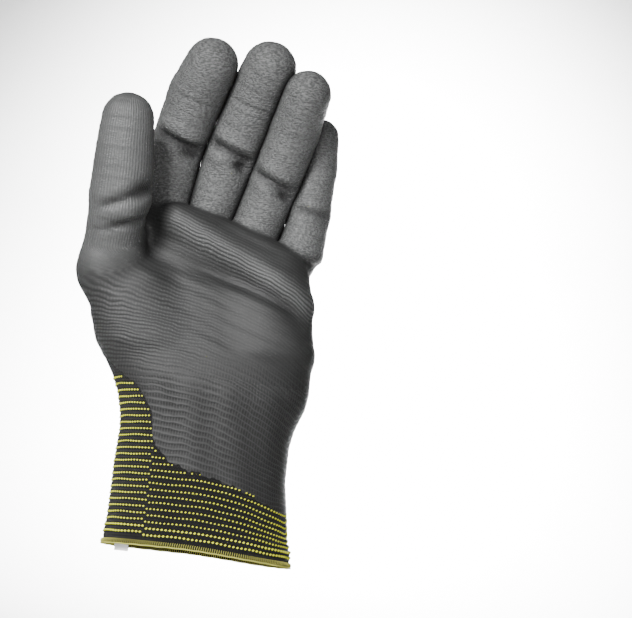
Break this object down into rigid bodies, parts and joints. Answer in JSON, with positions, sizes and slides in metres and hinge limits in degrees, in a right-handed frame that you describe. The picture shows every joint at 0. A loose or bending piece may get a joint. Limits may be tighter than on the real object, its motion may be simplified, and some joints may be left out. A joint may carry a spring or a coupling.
{
  "type": "cut resistant glove",
  "caption": "Left-hand knitted cut-resistant work glove with a grey palm coating, jointed fingers and thumb, and a long ribbed cuff with dotted yellow elastic courses.",
  "frame": {"origin": "centre of the cuff mouth", "axes": "+Z from the cuff mouth towards the fingertips, -Y is the palm side, -X is the thumb side"},
  "size_m": [0.1127, 0.0726, 0.2217],
  "materials": {
    "knit": "matte knit",
    "coating": "satin, fine grain",
    "coated_fold": "satin, creased",
    "elastic_yarn": "matte yarn",
    "hem_thread": "matte thread",
    "label": "woven tape"
  },
  "bodies": {
    "cuff": {"cuff_rib": "knit", "hem_overlock": "hem_thread", "size_label": "label", "elastic_inlay": "elastic_yarn", "wrist_coating": "coating", "wrist_fold": "coated_fold"},
    "palm": {"palm_liner": "knit", "palm_coating": "coating", "thumb_crotch": "coated_fold", "finger_webs": "coated_fold", "index_root_fold": "coated_fold", "middle_root_fold": "coated_fold", "ring_root_fold": "coated_fold", "little_root_fold": "coated_fold", "thumb_root_fold": "coated_fold"},
    "index_proximal": {"index_liner_proximal": "knit", "index_coating_proximal": "coating", "index_middle_fold": "coated_fold"},
    "index_middle": {"index_liner_middle": "knit", "index_coating_middle": "coating", "index_tip_fold": "coated_fold"},
    "index_distal": {"index_liner_distal": "knit", "index_coating_distal": "coating"},
    "middle_proximal": {"middle_liner_proximal": "knit", "middle_coating_proximal": "coating", "middle_middle_fold": "coated_fold"},
    "middle_middle": {"middle_liner_middle": "knit", "middle_coating_middle": "coating", "middle_tip_fold": "coated_fold"},
    "middle_distal": {"middle_liner_distal": "knit", "middle_coating_distal": "coating"},
    "ring_proximal": {"ring_liner_proximal": "knit", "ring_coating_proximal": "coating", "ring_middle_fold": "coated_fold"},
    "ring_middle": {"ring_liner_middle": "knit", "ring_coating_middle": "coating", "ring_tip_fold": "coated_fold"},
    "ring_distal": {"ring_liner_distal": "knit", "ring_coating_distal": "coating"},
    "little_proximal": {"little_liner_proximal": "knit", "little_coating_proximal": "coating", "little_middle_fold": "coated_fold"},
    "little_middle": {"little_liner_middle": "knit", "little_coating_middle": "coating", "little_tip_fold": "coated_fold"},
    "little_distal": {"little_liner_distal": "knit", "little_coating_distal": "coating"},
    "thumb_proximal": {"thumb_liner_proximal": "knit", "thumb_coating_proximal": "coating", "thumb_tip_fold": "coated_fold"},
    "thumb_distal": {"thumb_liner_distal": "knit", "thumb_coating_distal": "coating"}
  },
  "joints": [
    {"name": "wrist_bend", "type": "hinge", "parent": "cuff", "child": "palm", "pos_m": [0, 0, 0.08], "axis": [1, 0, 0], "range_deg": [-25, 30], "stiffness_Nm_per_rad": 0.4, "deforming": ["wrist_fold"]},
    {"name": "index_root_bend", "type": "hinge", "parent": "palm", "child": "index_proximal", "pos_m": [-0.0305, 0.004, 0.155], "axis": [0.9919, -0.0349, -0.1219], "range_deg": [-8, 35], "stiffness_Nm_per_rad": 0.03, "deforming": ["index_root_fold"]},
    {"name": "index_middle_bend", "type": "hinge", "parent": "index_proximal", "child": "index_middle", "pos_m": [-0.02756, -0.00247, 0.17897], "axis": [0.9477, -0.0349, -0.3173], "range_deg": [-12, 40], "stiffness_Nm_per_rad": 0.015, "deforming": ["index_middle_fold"]},
    {"name": "index_tip_bend", "type": "hinge", "parent": "index_middle", "child": "index_distal", "pos_m": [-0.02096, -0.01447, 0.19868], "axis": [0.9477, -0.0349, -0.3173], "range_deg": [-8, 24.5], "stiffness_Nm_per_rad": 0.008, "deforming": ["index_tip_fold"]},
    {"name": "middle_root_bend", "type": "hinge", "parent": "palm", "child": "middle_proximal", "pos_m": [-0.0105, 0.004, 0.1535], "axis": [0.9703, 0, -0.2419], "range_deg": [-8, 35], "stiffness_Nm_per_rad": 0.03, "deforming": ["middle_root_fold"]},
    {"name": "middle_middle_bend", "type": "hinge", "parent": "middle_proximal", "child": "middle_middle", "pos_m": [-0.00442, -0.00273, 0.17787], "axis": [0.9511, 0, -0.309], "range_deg": [-12, 40], "stiffness_Nm_per_rad": 0.015, "deforming": ["middle_middle_fold"]},
    {"name": "middle_tip_bend", "type": "hinge", "parent": "middle_middle", "child": "middle_distal", "pos_m": [0.00253, -0.01573, 0.19928], "axis": [0.9511, 0, -0.309], "range_deg": [-8, 24.5], "stiffness_Nm_per_rad": 0.008, "deforming": ["middle_tip_fold"]},
    {"name": "ring_root_bend", "type": "hinge", "parent": "palm", "child": "ring_proximal", "pos_m": [0.0099, 0.0032, 0.1468], "axis": [0.9613, 0, -0.2756], "range_deg": [-8, 35], "stiffness_Nm_per_rad": 0.03, "deforming": ["ring_root_fold"]},
    {"name": "ring_middle_bend", "type": "hinge", "parent": "ring_proximal", "child": "ring_middle", "pos_m": [0.01536, -0.00211, 0.16583], "axis": [0.9613, 0, -0.2756], "range_deg": [-12, 40], "stiffness_Nm_per_rad": 0.015, "deforming": ["ring_middle_fold"]},
    {"name": "ring_tip_bend", "type": "hinge", "parent": "ring_middle", "child": "ring_distal", "pos_m": [0.02156, -0.01511, 0.18748], "axis": [0.9659, 0, -0.2588], "range_deg": [-8, 24.5], "stiffness_Nm_per_rad": 0.008, "deforming": ["ring_tip_fold"]},
    {"name": "little_root_bend", "type": "hinge", "parent": "palm", "child": "little_proximal", "pos_m": [0.0306, 0.004, 0.1365], "axis": [0.952, 0.2077, -0.2247], "range_deg": [-8, 35], "stiffness_Nm_per_rad": 0.03, "deforming": ["little_root_fold"]},
    {"name": "little_middle_bend", "type": "hinge", "parent": "little_proximal", "child": "little_middle", "pos_m": [0.03464, 0.00306, 0.15402], "axis": [0.9682, 0.2078, -0.1391], "range_deg": [-12, 40], "stiffness_Nm_per_rad": 0.015, "deforming": ["little_middle_fold"]},
    {"name": "little_tip_bend", "type": "hinge", "parent": "little_middle", "child": "little_distal", "pos_m": [0.03754, 0.00014, 0.17461], "axis": [0.9743, 0.2079, -0.0871], "range_deg": [-8, 24.5], "stiffness_Nm_per_rad": 0.008, "deforming": ["little_tip_fold"]},
    {"name": "thumb_root_bend", "type": "hinge", "parent": "palm", "child": "thumb_proximal", "pos_m": [-0.054, -0.008, 0.118], "axis": [-0.5211, -0.8218, -0.2305], "range_deg": [-28, 18], "stiffness_Nm_per_rad": 0.04, "deforming": ["thumb_root_fold", "thumb_crotch"]},
    {"name": "thumb_tip_bend", "type": "hinge", "parent": "thumb_proximal", "child": "thumb_distal", "pos_m": [-0.04951, -0.02515, 0.14736], "axis": [-0.5211, -0.8218, -0.2305], "range_deg": [-28, 10], "stiffness_Nm_per_rad": 0.02, "deforming": ["thumb_tip_fold"]}
  ],
  "couplings": [
    {"joint": "index_tip_bend", "follows": "index_middle_bend", "ratio": 0.6},
    {"joint": "middle_tip_bend", "follows": "middle_middle_bend", "ratio": 0.6},
    {"joint": "ring_tip_bend", "follows": "ring_middle_bend", "ratio": 0.6},
    {"joint": "little_tip_bend", "follows": "little_middle_bend", "ratio": 0.6}
  ]
}
